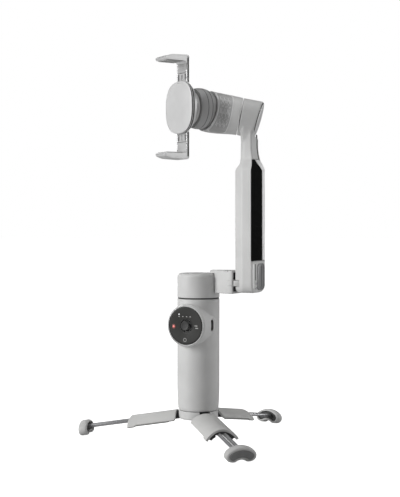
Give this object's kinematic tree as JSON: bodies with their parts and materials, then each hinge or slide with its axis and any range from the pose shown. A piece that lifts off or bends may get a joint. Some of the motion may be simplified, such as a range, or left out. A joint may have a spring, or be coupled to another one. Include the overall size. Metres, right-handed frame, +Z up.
{
  "type": "gimbal stabilizer",
  "caption": "Folding handheld phone stabilizer: round handle with control panel, offset arm, motor head, sliding phone clamp and fold-out tripod feet.",
  "frame": {"origin": "centre of the standing object's bounding box, on the ground under it", "axes": "+Z up along the handle, control panel facing -Y, pan arm pointing along +X"},
  "size_m": [0.1852, 0.1821, 0.3227],
  "materials": {
    "warm_grey_shell": "fine satin texture",
    "silver_grey": "satin metallic paint",
    "dark_panel": "soft dark matte",
    "black_inlay": "polished",
    "chrome_trim": "polished",
    "dark_rubber": "moulded, matte",
    "grip_pad": "moulded, matte",
    "copper_coil": "wound copper",
    "machined_steel": "machined",
    "circuit_board": "solder mask",
    "cell_wrap": "shrink wrap",
    "grey_bulb": "satin"
  },
  "bodies": {
    "handle": {"handle_shell": "warm_grey_shell", "battery_cell": "cell_wrap", "main_board": "circuit_board", "usb_port": "machined_steel", "panel_rim": "chrome_trim", "trigger_pin": "machined_steel", "pan_stator": "dark_panel", "pan_coil": "copper_coil"},
    "control_ring": {"control_ring": "dark_panel"},
    "joystick_yoke": {"joystick_yoke": "machined_steel"},
    "joystick": {"joystick_cap": "dark_panel"},
    "trigger": {"trigger": "warm_grey_shell"},
    "pan_group": {"pan_cap": "warm_grey_shell", "pan_arm": "warm_grey_shell", "pan_bearing": "machined_steel", "pan_magnet_ring": "machined_steel", "hinge_pin": "machined_steel"},
    "arm": {"arm_frame": "warm_grey_shell", "arm_inlay": "black_inlay", "arm_trim": "chrome_trim", "hinge_cover": "silver_grey", "roll_end_cap": "warm_grey_shell", "roll_coil": "copper_coil", "roll_bearing": "machined_steel"},
    "latch": {"arm_latch": "warm_grey_shell"},
    "barrel_group": {"barrel": "warm_grey_shell", "roll_magnet_ring": "machined_steel"},
    "tilt_group": {"tilt_bulb": "grey_bulb", "tilt_motor": "copper_coil", "mount_disc": "warm_grey_shell", "mount_magnet": "machined_steel"},
    "clamp": {"clamp_base": "silver_grey", "clamp_plate": "warm_grey_shell", "clamp_magnet": "machined_steel"},
    "jaw_top": {"jaw_upper": "silver_grey", "jaw_pad_upper": "grip_pad"},
    "jaw_bottom": {"jaw_lower": "silver_grey", "jaw_pad_lower": "grip_pad"},
    "pinion": {"clamp_pinion": "machined_steel"},
    "rod_1": {"rod_stage_1": "chrome_trim"},
    "rod_2": {"rod_stage_2": "chrome_trim"},
    "base": {"rod_stage_3": "chrome_trim", "base_hub": "silver_grey", "thread_insert": "machined_steel", "leg_pin_front": "machined_steel", "leg_pin_right": "machined_steel", "leg_pin_left": "machined_steel"},
    "leg_front": {"leg_shell_front": "warm_grey_shell"},
    "foot_front": {"leg_rods_front": "chrome_trim", "foot_front": "warm_grey_shell", "foot_pad_front": "dark_rubber"},
    "leg_right": {"leg_shell_right": "warm_grey_shell"},
    "foot_right": {"leg_rods_right": "chrome_trim", "foot_right": "warm_grey_shell", "foot_pad_right": "dark_rubber"},
    "leg_left": {"leg_shell_left": "warm_grey_shell"},
    "foot_left": {"leg_rods_left": "chrome_trim", "foot_left": "warm_grey_shell", "foot_pad_left": "dark_rubber"}
  },
  "joints": [
    {"name": "control_ring_press", "type": "slide", "parent": "handle", "child": "control_ring", "axis": [0, 1, 0], "range_m": [0, 0.0004], "stiffness_N_per_m": 1500, "springref_m": -0.0002},
    {"name": "joystick_side", "type": "hinge", "parent": "handle", "child": "joystick_yoke", "pos_m": [0.00945, -0.0299, 0.0978], "axis": [1, 0, 0], "range_deg": [-10, 10], "stiffness_Nm_per_rad": 0.01},
    {"name": "joystick_tilt", "type": "hinge", "parent": "joystick_yoke", "child": "joystick", "pos_m": [0.00945, -0.0299, 0.0978], "axis": [0, 0, 1], "range_deg": [-10, 10], "stiffness_Nm_per_rad": 0.01},
    {"name": "trigger_pull", "type": "hinge", "parent": "handle", "child": "trigger", "pos_m": [0.00945, 0.0034, 0.1089], "axis": [-1, 0, 0], "range_deg": [0, 8], "stiffness_Nm_per_rad": 0.08, "springref_deg": -2.86},
    {"name": "pan", "type": "hinge", "parent": "handle", "child": "pan_group", "pos_m": [0.00945, -0.0122, 0.1206], "axis": [0, 0, 1], "range_deg": [-160, 170]},
    {"name": "arm_fold", "type": "hinge", "parent": "pan_group", "child": "arm", "pos_m": [0.04745, -0.0122, 0.1337], "axis": [-1, 0, 0], "range_deg": [0, 120]},
    {"name": "latch_release", "type": "slide", "parent": "arm", "child": "latch", "axis": [0, 1, 0], "range_m": [0, 0.0015], "stiffness_N_per_m": 250, "springref_m": -0.002},
    {"name": "roll", "type": "hinge", "parent": "arm", "child": "barrel_group", "pos_m": [0.04825, -0.0106, 0.2729], "axis": [-0.868, -0.4607, 0.1854], "range_deg": [-110, 110]},
    {"name": "tilt", "type": "hinge", "parent": "barrel_group", "child": "tilt_group", "pos_m": [0.01735, -0.027, 0.2795], "axis": [0.866, -0.5, 0], "range_deg": [-40, 40]},
    {"name": "clamp_pull_off", "type": "slide", "parent": "tilt_group", "child": "clamp", "axis": [-0.5, -0.866, 0], "range_m": [0, 0.015]},
    {"name": "jaw_upper_slide", "type": "slide", "parent": "clamp", "child": "jaw_top", "axis": [0, 0, 1], "range_m": [-0.006, 0.004]},
    {"name": "jaw_lower_slide", "type": "slide", "parent": "clamp", "child": "jaw_bottom", "axis": [0, 0, -1], "range_m": [-0.006, 0.004]},
    {"name": "pinion_spin", "type": "hinge", "parent": "clamp", "child": "pinion", "pos_m": [0.01735, -0.027, 0.2795], "axis": [-0.5, -0.866, 0], "range_deg": [-125, 85]},
    {"name": "rod_1_extend", "type": "slide", "parent": "handle", "child": "rod_1", "axis": [0, 0, -1], "range_m": [0, 0.07]},
    {"name": "rod_2_extend", "type": "slide", "parent": "rod_1", "child": "rod_2", "axis": [0, 0, -1], "range_m": [0, 0.07]},
    {"name": "rod_3_extend", "type": "slide", "parent": "rod_2", "child": "base", "axis": [0, 0, -1], "range_m": [0, 0.07]},
    {"name": "leg_fold_front", "type": "hinge", "parent": "base", "child": "leg_front", "pos_m": [0.01859, -0.02072, 0.0208], "axis": [0.682, 0.7314, 0], "range_deg": [0, 81]},
    {"name": "leg_slide_front", "type": "slide", "parent": "leg_front", "child": "foot_front", "axis": [-0.7223, 0.6736, 0.1564], "range_m": [0, 0.025]},
    {"name": "leg_fold_right", "type": "hinge", "parent": "base", "child": "leg_right", "pos_m": [0.01226, -0.00002, 0.0208], "axis": [-0.9744, 0.225, 0], "range_deg": [0, 81]},
    {"name": "leg_slide_right", "type": "slide", "parent": "leg_right", "child": "foot_right", "axis": [-0.2222, -0.9624, 0.1564], "range_m": [0, 0.025]},
    {"name": "leg_fold_left", "type": "hinge", "parent": "base", "child": "leg_left", "pos_m": [-0.0025, -0.01585, 0.0208], "axis": [0.2924, -0.9563, 0], "range_deg": [0, 81]},
    {"name": "leg_slide_left", "type": "slide", "parent": "leg_left", "child": "foot_left", "axis": [0.9445, 0.2888, 0.1564], "range_m": [0, 0.025]}
  ],
  "couplings": [
    {"joint": "jaw_lower_slide", "follows": "jaw_upper_slide", "ratio": 1},
    {"joint": "pinion_spin", "follows": "jaw_upper_slide", "rad_per_m": 351}
  ]
}
